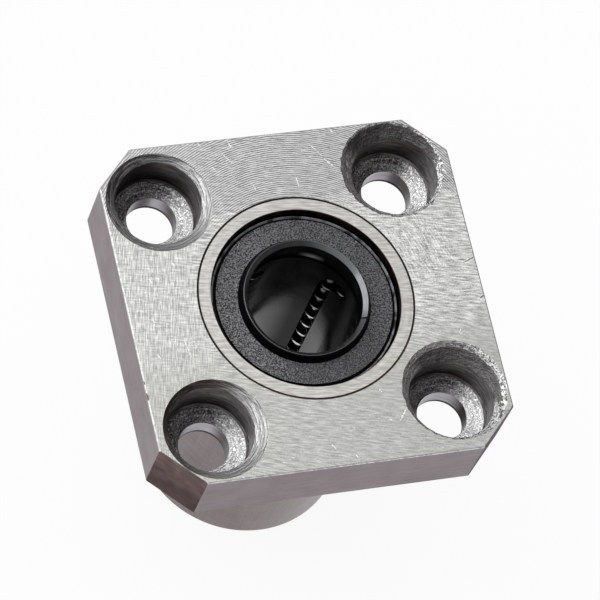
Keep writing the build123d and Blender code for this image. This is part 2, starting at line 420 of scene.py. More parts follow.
def face_finish():
    """The flange's face: faced in a lathe, then dressed by hand in several directions."""
    material, tree, shader, place = new_finish("ground face steel", 1.0)
    wander = on_places(tree, "MULTIPLY", cloud(tree, place, 0.25, 2.0), (4.0, 4.0, 4.0))
    x, y, _ = split(tree, on_places(tree, "ADD", place, wander))
    at_left = spread(tree, x, -1.0, -5.5)
    at_top = spread(tree, y, 7.0, 10.0)
    at_bottom = spread(tree, y, 1.0, -4.0)
    at_hatch = spread(tree, on_places(tree, "DISTANCE", place, HATCHED_SPOT), 3.6, 1.2)

    rings = use(tree, FEED_MARKS, Place=place, Pitch=0.155)["Marks"]
    slant = mix(tree, at_bottom, radians(10), radians(15))
    level = straight_lines(tree, place, slant, 9.0, 1.1)
    upright = straight_lines(tree, place, radians(102), 14.0, 1.1)
    crossing = straight_lines(tree, place, radians(72), 9.0, 1.2)
    dashed = times(tree, at_left, spread(tree, x, -2.5, -7.0, 0.1, 0.65))
    lines = mix(tree, dashed, level, upright)
    lines = mix(tree, times(tree, at_hatch, 0.55), lines, crossing)
    lines = mix(tree, mix(tree, at_left, 0.3, 0.12), lines, cloud(tree, place, 9.0, 2.0))
    crisp = sway(tree, 0.5, lines, 1.6)
    lines = mix(tree, times(tree, at_top, 0.5), crisp, rings)

    long_nicks = nicks(tree, place, radians(62), 1.3, 0.13)
    specks = nicks(tree, place, radians(15), 2.2, 0.07)
    nicked = calc(tree, "MAXIMUM", long_nicks, specks)

    # Painted sheen, partly: the grinding differs by region, but these tones (lighter at the left, darker at
    # the top and the bottom) stand in for how the light catches each run of lines.
    right_light = blend(tree, at_bottom, (0.532, 0.532, 0.52, 1), (0.437, 0.437, 0.419, 1))
    left_light = blend(tree, at_bottom, (0.502, 0.502, 0.489, 1), (0.445, 0.445, 0.42, 1))
    light = blend(tree, at_left, right_light, left_light)
    light = blend(tree, at_top, light, (0.388, 0.388, 0.383, 1))
    strength = mix(tree, at_left, mix(tree, at_bottom, 2.1, 0.75), mix(tree, at_bottom, 2.0, 1.05))
    strength = mix(tree, at_top, strength, 3.4)
    strength = mix(tree, at_hatch, strength, 3.3)
    tone = calc(tree, "MAXIMUM", sway(tree, 1.0, lines, strength), mix(tree, at_left, 0.45, 0.7))
    tone = calc(tree, "MINIMUM", tone, 1.5)
    colour = blend(tree, times(tree, nicked, 0.8), tinted(tree, light, tone), grey(0.95))
    surface(tree, shader, colour, spread(tree, lines, 0.25, 0.75, 0.48, 0.32), lines, 0.004)
    return material


def side_finish():
    """The flange's sawn and ground sides: smooth, with a faint mauve tarnish."""
    material, tree, shader, place = new_finish("flange side steel", 1.0)
    lines = bore_lines(tree, place, 5.0, 0.25)
    tarnish = cloud(tree, place, 0.5, 4.0)
    pits = times(tree, speckle(tree, place, 3.0, 0.1)["Sparkle"], 0.12)
    colour = blend(tree, tarnish, (0.195, 0.158, 0.17, 1), (0.275, 0.23, 0.243, 1))
    colour = tinted(tree, colour, spread(tree, lines, 0.3, 0.7, 0.9, 1.08))
    colour = blend(tree, pits, colour, grey(0.1))
    surface(tree, shader, colour, spread(tree, tarnish, 0.2, 0.8, 0.34, 0.5), lines, 0.003)
    return material


def corner_finish():
    """The cut corners: coarser saw lines and a darker, browner tarnish, too dull to mirror anything. Light
    and shade are painted on them too: darker towards the seating face, and the top corners lighter than the
    bottom ones.
    """
    material, tree, shader, place = new_finish("cut corner steel", 0.5)
    shader.inputs["Specular IOR Level"].default_value = 0.1
    shader.inputs["Specular Tint"].default_value = (0.25, 0.22, 0.24, 1)
    x, y, z = split(tree, place)
    lines = bore_lines(tree, place, 3.0, 0.5)
    patches = spread(tree, cloud(tree, place, 0.9, 4.0), 0.3, 0.7, 0.78, 1.2)
    # Painted shade: darker towards the seating face, lighter towards the flange's face.
    shade = times(tree, patches, spread(tree, z, 0.0, FLANGE_T, 0.7, 1.3))
    brown = blend(tree, lines, (0.07, 0.046, 0.045, 1), (0.22, 0.16, 0.155, 1))
    cool = blend(tree, lines, (0.1, 0.092, 0.106, 1), (0.26, 0.245, 0.27, 1))
    pale = blend(tree, lines, (0.24, 0.22, 0.225, 1), (0.42, 0.4, 0.4, 1))
    bottom = blend(tree, spread(tree, x, -2.0, 2.0), brown, cool)
    # Painted light: the top corners are lighter than the bottom ones.
    colour = tinted(tree, blend(tree, spread(tree, y, -6.0, 6.0), bottom, pale), shade)
    surface(tree, shader, colour, spread(tree, lines, 0.3, 0.7, 0.5, 0.65), lines, 0.01)
    return material


def worn_edge_finish():
    """Edges rubbed bright, with small dents."""
    material, tree, shader, place = new_finish("worn bright edge", 1.0)
    dents = speckle(tree, place, 2.5, 0.15)["Grain"]
    colour = blend(tree, dents, grey(0.52), grey(0.72))
    surface(tree, shader, colour, spread(tree, dents, 0.0, 1.0, 0.45, 0.25), dents, 0.01)
    return material


def scratch_finish():
    """Fresh scratches: bare, torn metal that looks pale from anywhere."""
    material, tree, shader, place = new_finish("fresh scratch", 0.35)
    torn = speckle(tree, place, 8.0, 0.1)["Grain"]
    colour = blend(tree, torn, grey(0.55), grey(1.0))
    surface(tree, shader, colour, spread(tree, torn, 0.0, 1.0, 0.6, 0.4), torn, 0.004)
    return material


def rim_finish():
    """The broken rims of the screw holes: torn metal at the right, turned metal at the left.

    The low part of the two rims at the right is painted dark at its back like the wall below it, painted
    shade. Light and shade are painted on all four: the bright colours on each rim's lit side, the shade
    colours on its other side, darker still at the back of the left-hand rims."""
    material, tree, shader, place = new_finish("torn rim steel", 1.0)
    hole = use(tree, HOLE_PLACE, Place=place)
    x, y, z = split(tree, place)
    at_right = spread(tree, x, -1.0, 1.0)
    at_top = spread(tree, y, -2.0, 2.0)

    rings = turned_lines(tree, hole["Local"], 8.0, 0.8)
    coarse = speckle(tree, place, 4.8, 0.07)["Grain"]
    fine = speckle(tree, place, 10.0, 0.12)["Grain"]
    torn = mix(tree, at_right, 0.25, 0.7)
    rough = mix(tree, torn, spread(tree, rings, 0.35, 0.65), mix(tree, 0.4, coarse, fine))

    # Painted light and shade: the shade colours go on each rim's side away from the light, the bright ones
    # on its lit side.
    shade = blend(tree, rough, (0.2, 0.195, 0.19, 1), (0.95, 0.93, 0.92, 1))
    brown = blend(tree, rough, (0.13, 0.105, 0.1, 1), (0.34, 0.29, 0.27, 1))
    at_brown = times(tree, spread(tree, x, 2.0, -2.0), spread(tree, y, 2.0, -2.0))
    shade = blend(tree, at_brown, shade, brown)
    silver = blend(tree, spread(tree, rough, 0.15, 0.65), grey(0.16), grey(1.0))
    dull = blend(tree, rough, grey(0.42), grey(0.7))
    bright = blend(tree, at_right, dull, silver)
    colour = blend(tree, spread(tree, hole["Lit"], -0.7, 0.8), shade, bright)
    # Painted shade: the back of the two left-hand rims is darker.
    at_back_left = times(tree, spread(tree, hole["Shaded"], 0.1, 0.9), spread(tree, x, 1.0, -1.0))
    colour = tinted(tree, colour, spread(tree, at_back_left, 0.0, 1.0, 1.0, 0.42))

    # Painted shade: at the back of the two right-hand rims, the low part is coloured dark like the wall
    # below it.
    streaks = bore_lines(tree, place, 6.0, 1.2)
    painted_wall_shade_top = blend(tree, streaks, (0.03, 0.028, 0.028, 1), (0.24, 0.23, 0.23, 1))
    painted_wall_shade_bottom = blend(tree, streaks, (0.04, 0.038, 0.038, 1), (0.32, 0.305, 0.3, 1))
    painted_wall_shade = blend(tree, at_top, painted_wall_shade_bottom, painted_wall_shade_top)
    local_x, local_y, _ = split(tree, hole["Local"])
    backwards = calc(tree, "ADD", local_y, times(tree, local_x, mix(tree, at_top, 0.7, 0.25)))
    at_back = times(tree, spread(tree, backwards, 0.6, 2.0), at_right)
    painted_wall_shade_from = mix(tree, at_top, FLANGE_T - 0.32, FLANGE_T - 0.1)
    below = spread(tree, calc(tree, "SUBTRACT", painted_wall_shade_from, z), -0.02, 0.03)
    colour = blend(tree, times(tree, at_back, below), colour, painted_wall_shade)
    surface(tree, shader, colour, spread(tree, rough, 0.0, 1.0, 0.5, 0.3), rough, 0.05)
    return material


def wall_finish():
    """The counterbores' walls: dark, with tool rings; painted shade darkens the back-left hole's wall, and
    painted light lightens each wall towards its top and away from its shaded back.
    """
    material, tree, shader, place = new_finish("counterbore wall steel", 1.0)
    x, y, z = split(tree, place)
    hole = use(tree, HOLE_PLACE, Place=place)
    lines = bore_lines(tree, place, 5.0, 0.8)
    rings = spread(tree, lines, 0.3, 0.7)
    stain = spread(tree, cloud(tree, place, 1.1, 3.0), 0.5, 0.75)
    # Painted shade: the wall of the back-left hole is darker.
    painted_shade_back_left = times(tree, spread(tree, x, 2.0, -2.0), spread(tree, y, -2.0, 2.0))
    # Painted light: each wall is lighter towards its top and away from its shaded back.
    high = spread(tree, z, COUNTERBORE_FLOOR + 0.3, FLANGE_T - 0.4)
    lightened = calc(tree, "ADD", times(tree, high, 0.45), spread(tree, hole["Shaded"], 0.5, -0.6))
    colour = blend(tree, rings, (0.06, 0.054, 0.052, 1), (0.2, 0.185, 0.18, 1))
    colour = blend(tree, stain, colour, (0.1, 0.085, 0.075, 1))
    colour = blend(tree, times(tree, painted_shade_back_left, 0.75), colour, (0.02, 0.016, 0.014, 1))
    pale = blend(tree, rings, (0.15, 0.138, 0.138, 1), (0.42, 0.4, 0.4, 1))
    share = times(tree, lightened, mix(tree, painted_shade_back_left, 0.9, 0.5), clamp=True)
    colour = blend(tree, share, colour, pale)
    surface(tree, shader, colour, spread(tree, lines, 0.2, 0.8, 0.5, 0.34), lines, 0.02)
    return material


def floor_finish():
    """The counterbores' floors: speckled, with fine rings left by the tool, bright on the lit side and dark
    at the back: painted light and shade.
    """
    material, tree, shader, place = new_finish("counterbore floor steel", 1.0)
    hole = use(tree, HOLE_PLACE, Place=place)
    rings = spread(tree, turned_lines(tree, hole["Local"], 7.0, 0.7), 0.35, 0.65)
    rough = mix(tree, 0.35, speckle(tree, place, 9.0, 0.1)["Grain"], rings)
    # Painted light and shade: each floor is bright on its lit side and dark at its back, where the wall
    # shades it.
    shaded = sway(tree, hole["Shaded"], cloud(tree, place, 1.5, 3.0))
    shade = blend(tree, rough, (0.02, 0.019, 0.018, 1), (0.3, 0.292, 0.285, 1))
    bright = blend(tree, spread(tree, rough, 0.1, 0.45), grey(0.42), grey(1.0))
    colour = blend(tree, spread(tree, shaded, -0.25, 0.75), bright, shade)
    surface(tree, shader, colour, spread(tree, rough, 0.2, 0.8, 0.4, 0.3), rough, 0.03)
    return material


def drilled_finish():
    """The drilled holes under the counterbores: tarnished, with a drill's lines, light and shade painted by
    the way to the light, and a painted shadow along the far edge.
    """
    material, tree, shader, place = new_finish("drilled hole steel", 1.0)
    hole = use(tree, HOLE_PLACE, Place=place)
    _, _, z = split(tree, place)
    lines = bore_lines(tree, place, 6.0, 0.6)
    pale = blend(tree, lines, (0.2, 0.185, 0.205, 1), (0.5, 0.48, 0.52, 1))
    dark = blend(tree, lines, (0.012, 0.008, 0.007, 1), (0.07, 0.05, 0.048, 1))
    # Painted light and shade: the wall is pale or dark by where it lies from the light.
    colour = blend(tree, spread(tree, hole["Lit"], -0.1, 0.7), pale, dark)
    # Painted shadow: the lowest part of the wall, its far edge, is near black.
    colour = blend(tree, spread(tree, z, 0.42, 0.3), colour, grey(0.004))
    surface(tree, shader, colour, spread(tree, lines, 0.2, 0.8, 0.45, 0.25), lines, 0.01)
    return material


def seating_finish():
    """The flange's seating face and the sleeve's rear end: plainly surface ground."""
    material, tree, shader, place = new_finish("ground seating steel", 1.0)
    lines = straight_lines(tree, place, radians(3), 7.0, 0.15)
    colour = blend(tree, lines, (0.42, 0.41, 0.41, 1), (0.6, 0.59, 0.585, 1))
    surface(tree, shader, colour, spread(tree, lines, 0.2, 0.8, 0.42, 0.26), lines, 0.004)
    return material


def joint_finish():
    """The dark line of grime where the sleeve meets the flange, rusty at the bottom."""
    material, tree, shader, place = new_finish("joint grime", 0.0)
    patches = cloud(tree, place, 0.6, 3.0)
    _, y, _ = split(tree, place)
    rust = blend(tree, patches, (0.025, 0.014, 0.008, 1), (0.11, 0.06, 0.035, 1))
    colour = blend(tree, spread(tree, y, -1.0, -6.0), (0.012, 0.01, 0.009, 1), rust)
    surface(tree, shader, colour, spread(tree, patches, 0.2, 0.8, 0.7, 0.9), patches, 0.01)
    return material


def ring_finish():
    """The sleeve's hardened end: warmer than the flange, with short grinding strokes."""
    material, tree, shader, place = new_finish("ground ring steel", 1.0)
    strokes = straight_lines(tree, place, radians(9), 8.0, 0.9)
    lines = mix(tree, 0.25, strokes, turned_lines(tree, place, 6.0, 0.3))
    streaks = spread(tree, lines, 0.36, 0.64)
    colour = blend(tree, streaks, (0.365, 0.357, 0.337, 1), (0.525, 0.515, 0.488, 1))
    surface(tree, shader, colour, spread(tree, lines, 0.2, 0.8, 0.44, 0.28), lines, 0.004)
    return material


def barrel_finish():
    """The barrel: ground round and lightly tarnished."""
    material, tree, shader, place = new_finish("ground barrel steel", 1.0)
    lines = bore_lines(tree, place, 9.0, 0.3)
    rubbed = bore_lines(tree, place, 0.25, 4.0)
    smears = cloud(tree, place, 0.35, 4.0)
    tone = spread(tree, lines, 0.3, 0.7, 0.87, 1.12)
    tone = times(tree, tone, spread(tree, rubbed, 0.3, 0.72, 0.96, 1.08))
    colour = tinted(tree, blend(tree, smears, (0.132, 0.104, 0.107, 1), (0.25, 0.208, 0.214, 1)), tone)
    dulled = spread(tree, smears, 0.3, 0.8, 0.0, 0.1)
    roughness = calc(tree, "ADD", spread(tree, lines, 0.25, 0.75, 0.2, 0.3), dulled)
    surface(tree, shader, colour, roughness, lines, 0.0006)
    return material


def seat_finish():
    """The sleeve's inner wall round the seal: near black, browned in patches by the heat of hardening."""
    material, tree, shader, place = new_finish("browned seat steel", 1.0)
    browned = spread(tree, cloud(tree, place, 0.9, 3.0), 0.4, 0.7)
    lines = bore_lines(tree, place, 6.0, 0.4)
    colour = blend(tree, browned, (0.02, 0.017, 0.015, 1), (0.1, 0.06, 0.035, 1))
    surface(tree, shader, colour, spread(tree, lines, 0.2, 0.8, 0.4, 0.25), lines, 0.006)
    return material


def seal_grain_finish():
    """The seal's face: moulded against a spark-eroded tool, so it is all fine grain."""
    material, tree, shader, place = new_finish("grained seal rubber", 0.0, ior=1.52)
    x, y, _ = split(tree, place)
    fine = speckle(tree, place, 14.0, 0.16)
    rough = mix(tree, 0.4, speckle(tree, place, 9.0, 0.1)["Grain"], fine["Grain"])
    # Painted light: the grain's peaks are lighter at the left, towards the light.
    peaks = blend(tree, spread(tree, x, 3.0, -4.0), (0.27, 0.27, 0.278, 1), (0.35, 0.35, 0.368, 1))
    colour = blend(tree, spread(tree, rough, 0.2, 0.8), grey(0.012), peaks)
    at_bottom = times(tree, spread(tree, y, -1.5, -5.0), spread(tree, x, -5.0, -1.0))
    colour = blend(tree, times(tree, at_bottom, 0.4), colour, grey(0.08))
    # Painted glints: near-white sparkles on the grain, more of them at the left.
    at_left = spread(tree, x, 0.0, -4.0, 0.15, 0.6)
    colour = blend(tree, times(tree, fine["Sparkle"], at_left), colour, grey(0.7))
    surface(tree, shader, colour, spread(tree, fine["Sparkle"], 0.0, 1.0, 0.42, 0.2), rough, 0.08)
    return material


def seal_crest_finish():
    """The crest of the seal's collar: smooth, polished by shafts pushed through it, with one notch."""
    material, tree, shader, place = new_finish("polished seal crest", 0.0, ior=2.0)
    shader.inputs["Specular Tint"].default_value = (0.9, 0.95, 1.0, 1)
    smears = cloud(tree, place, 1.6, 4.0)
    bearing, _ = round_the_axis(tree, place)
    from_notch = calc(tree, "SUBTRACT", bearing, NOTCH_BEARING)
    notch = spread(tree, calc(tree, "ABSOLUTE", from_notch), 1.1, 0.5)
    colour = blend(tree, smears, (0.014, 0.013, 0.012, 1), (0.034, 0.032, 0.03, 1))
    colour = blend(tree, notch, colour, grey(0.0005))
    gloss = mix(tree, spread(tree, from_notch, 1.0, -1.0), 0.82, 0.38)
    dulled = spread(tree, away_from(tree, bearing, CREST_GLOSS_BEARING), 45.0, 80.0)
    gloss = mix(tree, notch, mix(tree, dulled, gloss, 0.4), 0.0)
    tree.links.new(gloss, shader.inputs["Specular IOR Level"])
    rings = turned_lines(tree, place, 8.0, 0.3)
    surface(tree, shader, colour, spread(tree, smears, 0.3, 0.7, 0.14, 0.3), rings, 0.004)
    return material


def seal_bead_finish():
    """The thin bead round the seal's edge: bare, greyer rubber that catches the light."""
    material, tree, shader, place = new_finish("seal edge bead", 0.0, ior=1.7)
    worn = cloud(tree, place, 1.4, 4.0)
    bare = spread(tree, worn, 0.35, 0.6)
    colour = blend(tree, bare, (0.03, 0.03, 0.033, 1), (0.34, 0.35, 0.37, 1))
    surface(tree, shader, colour, spread(tree, worn, 0.3, 0.7, 0.3, 0.16), worn, 0.01)
    return material


def seal_shade_finish():
    """The seal's collar and lip below the crest: deep black, with one painted highlight on the front lip."""
    material, tree, shader, place = new_finish("black rubber with a painted highlight", 0.0, ior=1.36)
    shader.inputs["Specular IOR Level"].default_value = 0.1
    smears = cloud(tree, place, 1.2, 4.0)
    bearing, height = round_the_axis(tree, place)
    # A painted highlight: a near-white patch on the front lip, at one bearing and height.
    off_centre = away_from(tree, bearing, PAINTED_HIGHLIGHT_BEARING)
    painted_highlight = times(tree, spread(tree, off_centre, 14.0, 0.0), spread(tree, height, 3.3, 2.8))
    painted_highlight = times(tree, painted_highlight, spread(tree, height, 2.55, 2.75))
    colour = blend(tree, smears, grey(0.001), grey(0.004))
    colour = blend(tree, times(tree, painted_highlight, smears, clamp=True), colour, grey(1.0))
    surface(tree, shader, colour, spread(tree, smears, 0.3, 0.7, 0.12, 0.25), smears, 0.004)
    return material


def cage_finish():
    """The cage: black moulded plastic with faint flow marks, glossy past the row that is seen."""
    material, tree, shader, place = new_finish("glossy cage plastic", 0.0, ior=1.5)
    shader.inputs["Specular Tint"].default_value = (0.96, 0.95, 1.0, 1)
    flow = cloud(tree, place, 0.5, 3.0)
    bearing, height = round_the_axis(tree, place)
    streaks = cloud(tree, on_places(tree, "MULTIPLY", place, (5.0, 5.0, 0.4)), 1.0, 3.0, 0.6)
    strayed = sway(tree, bearing, streaks, 12.0)
    ragged = sway(tree, height, streaks, 3.0)
    glossy = times(tree, spread(tree, strayed, 15.0, 23.0), spread(tree, ragged, -1.6, -4.4))
    glossy = times(tree, glossy, spread(tree, bearing, 110.0, 101.0))
    deeper = spread(tree, height, -4.0, -7.5, 0.5, 0.86)
    past_row = spread(tree, bearing, 58.0, 94.0, 0.08, 0.8)
    shine = mix(tree, spread(tree, bearing, 40.0, 46.0), deeper, past_row)
    tree.links.new(mix(tree, glossy, 0.1, shine), shader.inputs["Specular IOR Level"])
    colour = blend(tree, flow, (0.001, 0.001, 0.0014, 1), (0.004, 0.004, 0.005, 1))
    lines = bore_lines(tree, place, 1.2, 0.3)
    surface(tree, shader, colour, spread(tree, flow, 0.3, 0.7, 0.15, 0.22), lines, 0.004)
    return material


def ball_finish():
    """The balls: polished steel, painted darker towards the front and near black at the left, painted shade
    that hides their glints there.
    """
    material, tree, shader, place = new_finish("polished ball steel", 1.0)
    shader.inputs["Specular IOR Level"].default_value = 0.1
    x, _, z = split(tree, place)
    film = cloud(tree, place, 1.5, 3.0)
    # Painted shade: the balls at the left are near black and not metallic, so they show no glints.
    painted_shade_left = spread(tree, x, 0.5, -0.5)
    colour = blend(tree, film, (0.5, 0.5, 0.51, 1), (0.75, 0.75, 0.75, 1))
    # Painted shade: the balls towards the front are darker.
    colour = blend(tree, spread(tree, z, -4.6, -3.0), colour, grey(0.11))
    colour = blend(tree, painted_shade_left, colour, grey(0.006))
    tree.links.new(spread(tree, painted_shade_left, 0.0, 1.0, 1.0, 0.0), shader.inputs["Metallic"])
    surface(tree, shader, colour, spread(tree, film, 0.3, 0.7, 0.05, 0.12), film, 0.002)
    return material


# Shaping tools


def along_z(length):
    return Vector((0, 0, length))


def radius_of(place):
    return hypot(place.x, place.y) / MM


def clean(bm):
    """Merges doubled corners and turns the faces outwards."""
    bmesh.ops.remove_doubles(bm, verts=bm.verts, dist=0.0005 * MM)
    bmesh.ops.recalc_face_normals(bm, faces=bm.faces)


def turn(points, steps=192, closed=True):
    """Turns (radius, height) points about Z. An open line of points starts and ends on the axis."""
    bm = bmesh.new()
    corners = [bm.verts.new((radius * MM, 0, height * MM)) for radius, height in points]
    pairs = list(zip(corners, corners[1:]))
    if closed:
        pairs.append((corners[-1], corners[0]))
    lines = [bm.edges.new(pair) for pair in pairs]
    bmesh.ops.spin(
        bm,
        geom=corners + lines,
        cent=(0, 0, 0),
        axis=(0, 0, 1),
        dvec=(0, 0, 0),
        angle=radians(360.0),
        steps=steps,
        use_merge=True,
    )
    clean(bm)
    return bm


def soften(bm, wanted, width, segments=2):
    """Rounds the sharp edges for which wanted(edge) is true."""
    sharp = [e for e in bm.edges if e.is_manifold and e.calc_face_angle() > radians(20) and wanted(e)]
    bmesh.ops.bevel(
        bm,
        geom=sharp,
        offset=width * MM,
        offset_type="OFFSET",
        segments=segments,
        profile=0.5,
        affect="EDGES",
        material=-1,
        clamp_overlap=True,
    )


def paint_faces(bm, pick):
    for face in bm.faces:
        face.material_index = pick(face)


def to_object(name, bm, materials=()):
    mesh = bpy.data.meshes.new(name)
    bm.to_mesh(mesh)
    bm.free()
    for material in materials:
        mesh.materials.append(material)
    made = bpy.data.objects.new(name, mesh)
    bpy.context.scene.collection.objects.link(made)
    return made


def carve(body, cutters, operation="DIFFERENCE"):
    """Cuts each cutter out of the body, or joins it on, and clears the cutters away."""
    for cutter in cutters:
        cut = body.modifiers.new("cut", "BOOLEAN")
        cut.object = cutter
        cut.operation = operation
        cut.solver = "EXACT"
        cut.material_mode = "TRANSFER"
    bpy.context.view_layer.update()
    shaped = bpy.data.meshes.new_from_object(body.evaluated_get(bpy.context.evaluated_depsgraph_get()))
    body.modifiers.clear()
    body.data = shaped
    for cutter in cutters:
        bpy.data.objects.remove(cutter)


def finish_piece(made, body, node, sharp_angle=35.0):
    """Smooths the shading, ties the piece to its body and hides the CAD node that it stands for."""
    bm = bmesh.new()
    bm.from_mesh(made.data)
    for face in bm.faces:
        face.smooth = True
    for edge in bm.edges:
        same_finish = len({face.material_index for face in edge.link_faces}) == 1
        edge.smooth = same_finish and edge.calc_face_angle(0.0) < radians(sharp_angle)
    bm.to_mesh(made.data)
    bm.free()
    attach(made, body)
    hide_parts(node)


# Flange


FACE, SIDE, CORNER, EDGE, RIM, WALL, FLOOR, DRILLED, SEATING, JOINT, SCRATCH = range(11)
FLANGE_FINISHES = [
    face_finish(),
    side_finish(),
    corner_finish(),
    worn_edge_finish(),
    rim_finish(),
    wall_finish(),
    floor_finish(),
    drilled_finish(),
    seating_finish(),
    joint_finish(),
    scratch_finish(),
]


def flange_blank():
    """The plate, with its corners cut and its edges softened."""
    bm = bmesh.new()
    bmesh.ops.create_cube(bm, size=1.0)
    bmesh.ops.scale(bm, vec=(FLANGE_SIDE * MM, FLANGE_SIDE * MM, FLANGE_T * MM), verts=bm.verts)
    bmesh.ops.translate(bm, vec=(0, 0, FLANGE_T / 2 * MM), verts=bm.verts)

    def upright(edge):
        return abs(edge.verts[0].co.z - edge.verts[1].co.z) > MM

    soften(bm, upright, CORNER_CUT, segments=1)
    soften(bm, upright, CORNER_EDGE)
    soften(bm, lambda edge: not upright(edge), FLANGE_EDGE)

    def pick(face):
        normal = face.normal
        if normal.z > 0.99:
            return FACE
        if normal.z < -0.99:
            return SEATING
        if min(abs(normal.x), abs(normal.y)) > 0.12:
            return CORNER
        return EDGE if abs(normal.z) > 0.05 else SIDE

    paint_faces(bm, pick)
    return to_object("flange_plate", bm, FLANGE_FINISHES)


def screw_hole_cutter(side_x, side_y):
    """A drilled hole with its counterbore, whose floor is dished a little."""
    outline = [
        (0, -RUN_ON),
        (HOLE_R + HOLE_CHAMFER + RUN_ON, -RUN_ON),
        (HOLE_R, HOLE_CHAMFER),
        (HOLE_R, COUNTERBORE_FLOOR - FLOOR_DISH - 0.06),
        (HOLE_R + 0.08, COUNTERBORE_FLOOR - FLOOR_DISH),
        (COUNTERBORE_R - FLOOR_EDGE, COUNTERBORE_FLOOR),
        (COUNTERBORE_R, COUNTERBORE_FLOOR + FLOOR_EDGE),
        (COUNTERBORE_R, FLANGE_T + RUN_ON),
        (0, FLANGE_T + RUN_ON),
    ]
    bm = turn(outline, steps=96, closed=False)

    def pick(face):
        middle = face.calc_center_median()
        away = radius_of(middle)
        if away > COUNTERBORE_R - 0.1:
            return WALL
        return FLOOR if middle.z > 1.0 * MM and away > HOLE_R + 0.01 else DRILLED

    paint_faces(bm, pick)
    bmesh.ops.translate(bm, vec=(side_x * HOLE_OFFSET * MM, side_y * HOLE_OFFSET * MM, 0), verts=bm.verts)
    return to_object("screw_hole_cutter", bm, FLANGE_FINISHES)


def rim_cutter(side_x, side_y):
    """The countersink that broke the rim, with its torn surface."""
    shift_x, shift_y = RIM_SHIFTS[side_x, side_y]
    slope = RIM_SLOPE_WIDTH / RIM_DEPTH
    low = -RIM_DEPTH - RUN_ON
    high = 0.6
    heights = [low + (high - low) * i / RIM_STEPS for i in range(RIM_STEPS + 1)]
    rim_r = RIM_R + RIM_GROWTH[side_x, side_y]
    line = [(rim_r + height * slope, FLANGE_T + height) for height in heights]
    bm = turn([(0, FLANGE_T + low)] + line + [(0, FLANGE_T + high)], steps=160, closed=False)
    centre = Vector((side_x * HOLE_OFFSET + shift_x, side_y * HOLE_OFFSET + shift_y, 0))
    torn = RIM_TORN[side_x, side_y]
    for vert in bm.verts:
        if radius_of(vert.co) > 0.5:
            spot = vert.co / MM + centre
            wide_tears = noise.noise(spot * 1.6) * 0.6
            small_tears = noise.noise(spot * 4.5) * 0.8
            way = Vector((vert.co.x, vert.co.y, 0)).normalized()
            vert.co += way * (wide_tears + small_tears) * torn * MM
    bmesh.ops.translate(bm, vec=centre * MM, verts=bm.verts)
    paint_faces(bm, lambda face: RIM)
    return to_object("rim_cutter", bm, FLANGE_FINISHES)


def sleeve_hole_cutter():
    """The flange's hole for the sleeve, with the narrow chamfer that shows as the joint."""
    bore_r = SLEEVE_R + BOND_GAP
    above = 0.06
    outline = [
        (0, -REAR_CHAMFER),
        (bore_r + 2 * REAR_CHAMFER, -REAR_CHAMFER),
        (bore_r, REAR_CHAMFER),
        (bore_r, FLANGE_T - JOINT_CHAMFER),
        (bore_r + JOINT_CHAMFER, FLANGE_T),
        (bore_r + JOINT_CHAMFER + above, FLANGE_T + above),
        (0, FLANGE_T + above),
    ]
    bm = turn(outline, closed=False)
    paint_faces(bm, lambda face: JOINT if face.calc_center_median().z > 4.9 * MM else SIDE)
    return to_object("sleeve_hole_cutter", bm, FLANGE_FINISHES)


def scratch_cutter():
    """Dents in the flange's edges and scratches on its face, each a start, an end and a width."""
    marks = [
        ((-12.55, -4.5), (-12.5, -4.95), 0.22),
        ((-12.55, -5.4), (-12.48, -6.1), 0.26),
        ((12.1, 7.9), (12.6, 8.05), 0.1),
        ((11.5, 1.15), (12.6, 1.55), 0.08),
        ((12.05, -1.65), (12.6, -1.3), 0.1),
        ((4.3, -9.85), (5.0, -8.9), 0.16),
        ((-3.64, 11.53), (-2.79, 10.5), 0.1),
        ((2.75, 11.46), (3.5, 10.4), 0.08),
        ((3.5, 10.3), (4.11, 9.52), 0.12),
        ((-1.86, 8.93), (-1.7, 8.37), 0.07),
        ((1.28, 9.16), (1.36, 8.23), 0.07),
        ((-9.87, -1.6), (-9.45, -2.88), 0.09),
        ((-8.6, -1.84), (-8.25, -3.04), 0.09),
        ((-9.15, -1.85), (-8.86, -3.38), 0.11),
        ((0.64, -9.98), (1.14, -9.86), 0.14),
        ((-0.82, -10.7), (-0.47, -11.22), 0.1),
        ((3.39, -7.23), (3.6, -7.56), 0.1),
        ((3.48, -9.49), (3.9, -9.68), 0.1),
        ((10.0, -3.91), (10.21, -3.63), 0.1),
        ((-6.93, -4.24), (-6.74, -4.34), 0.15),
    ]
    bm = bmesh.new()
    for start, end, width in marks:
        start, end = Vector((*start, FLANGE_T)), Vector((*end, FLANGE_T))
        along = end - start
        turned = Matrix.Rotation(Vector((1, 0)).angle_signed(-along.xy) * -1, 4, "Z")
        size = Matrix.Diagonal((along.length / 2, width / 2, width / 3, 1))
        place = Matrix.Scale(MM, 4) @ Matrix.Translation((start + end) / 2) @ turned @ size
        bmesh.ops.create_icosphere(bm, subdivisions=2, radius=1.0, matrix=place)
    paint_faces(bm, lambda face: CORNER if abs(face.calc_center_median().x) > 11 * MM else SCRATCH)
    return to_object("scratch_cutter", bm, FLANGE_FINISHES)


def make_flange():
    plate = flange_blank()
    cutters = [sleeve_hole_cutter()]
    for side_x, side_y in RIM_SHIFTS:
        cutters.append(screw_hole_cutter(side_x, side_y))
        cutters.append(rim_cutter(side_x, side_y))
    cutters.append(scratch_cutter())
    carve(plate, cutters)
    finish_piece(plate, "housing", "flange")


# Sleeve


RING, BARREL, SEAT, SLEEVE_JOINT, SLEEVE_REAR = range(5)
SLEEVE_FINISHES = [
    ring_finish(),
    barrel_finish(),
    seat_finish(),
    FLANGE_FINISHES[JOINT],
    FLANGE_FINISHES[SEATING],
]


